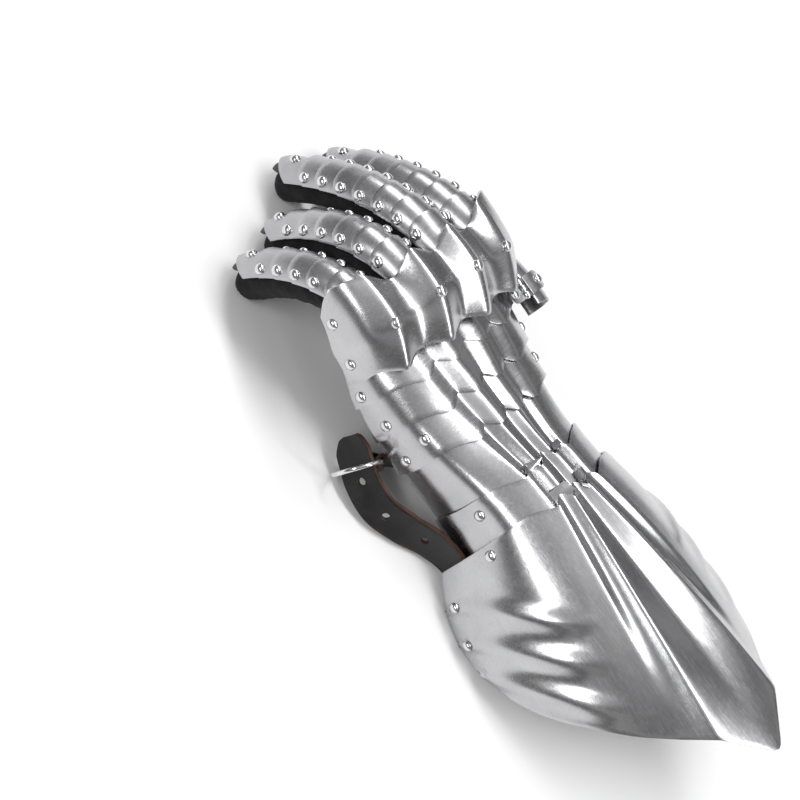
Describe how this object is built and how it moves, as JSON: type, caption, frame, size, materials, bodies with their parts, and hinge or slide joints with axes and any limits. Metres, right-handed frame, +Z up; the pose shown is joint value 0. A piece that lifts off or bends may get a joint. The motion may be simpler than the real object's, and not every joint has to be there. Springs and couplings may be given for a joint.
{
  "type": "left-hand armoured gauntlet",
  "caption": "Left-hand plate gauntlet: fluted flaring cuff with a pointed end, zigzag-edged lames over the hand, shingled riveted lames on leather glove fingers, hinged thumb plates and strap",
  "frame": {"origin": "middle of the base: bounding box centre in X and Y, floor plane in Z", "axes": "+X along the forearm towards the cuff's point, +Y towards the thumb side, +Z up, away from the back of the hand"},
  "size_m": [0.3642, 0.146, 0.0912],
  "materials": {
    "plate_steel": "satin brushed bare steel with polished rivet heads",
    "wire": "bright plated wire",
    "glove_suede": "black suede",
    "strip_leather": "smooth dark grey leather",
    "strap_leather": "smooth black strap leather with brown cut edges"
  },
  "bodies": {
    "root": {"back_lame_1": "plate_steel", "back_lame_2": "plate_steel", "back_lame_3": "plate_steel", "back_lame_4": "plate_steel", "wrist_lame": "plate_steel", "knuckle_plate": "plate_steel", "cuff": "plate_steel", "pinky_lame_1": "plate_steel", "pinky_lame_2": "plate_steel", "pinky_lame_3": "plate_steel", "pinky_lame_4": "plate_steel", "pinky_lame_5": "plate_steel", "pinky_tip_plate": "plate_steel", "pinky_strip": "strip_leather", "pinky_stall": "glove_suede", "ring_lame_1": "plate_steel", "ring_lame_2": "plate_steel", "ring_lame_3": "plate_steel", "ring_lame_4": "plate_steel", "ring_lame_5": "plate_steel", "ring_lame_6": "plate_steel", "ring_tip_plate": "plate_steel", "ring_strip": "strip_leather", "ring_stall": "glove_suede", "middle_lame_1": "plate_steel", "middle_lame_2": "plate_steel", "middle_lame_3": "plate_steel", "middle_lame_4": "plate_steel", "middle_lame_5": "plate_steel", "middle_lame_6": "plate_steel", "middle_lame_7": "plate_steel", "middle_tip_plate": "plate_steel", "middle_strip": "strip_leather", "middle_stall": "glove_suede", "index_lame_1": "plate_steel", "index_lame_2": "plate_steel", "index_lame_3": "plate_steel", "index_lame_4": "plate_steel", "index_lame_5": "plate_steel", "index_lame_6": "plate_steel", "index_tip_plate": "plate_steel", "index_strip": "strip_leather", "index_stall": "glove_suede", "thumb_base_plate": "plate_steel", "thumb_lame_1": "plate_steel", "thumb_lame_2": "plate_steel", "thumb_lame_3": "plate_steel", "thumb_lame_4": "plate_steel", "thumb_tip_plate": "plate_steel", "thumb_strip": "strip_leather", "thumb_stall": "glove_suede", "glove_hand": "glove_suede", "hinge_hand_leaf": "plate_steel", "hinge_thumb_leaf": "plate_steel", "hinge_pin": "plate_steel", "wrist_strap": "strap_leather", "buckle_ring": "wire", "buckle_tab": "strap_leather"}
  },
  "joints": []
}
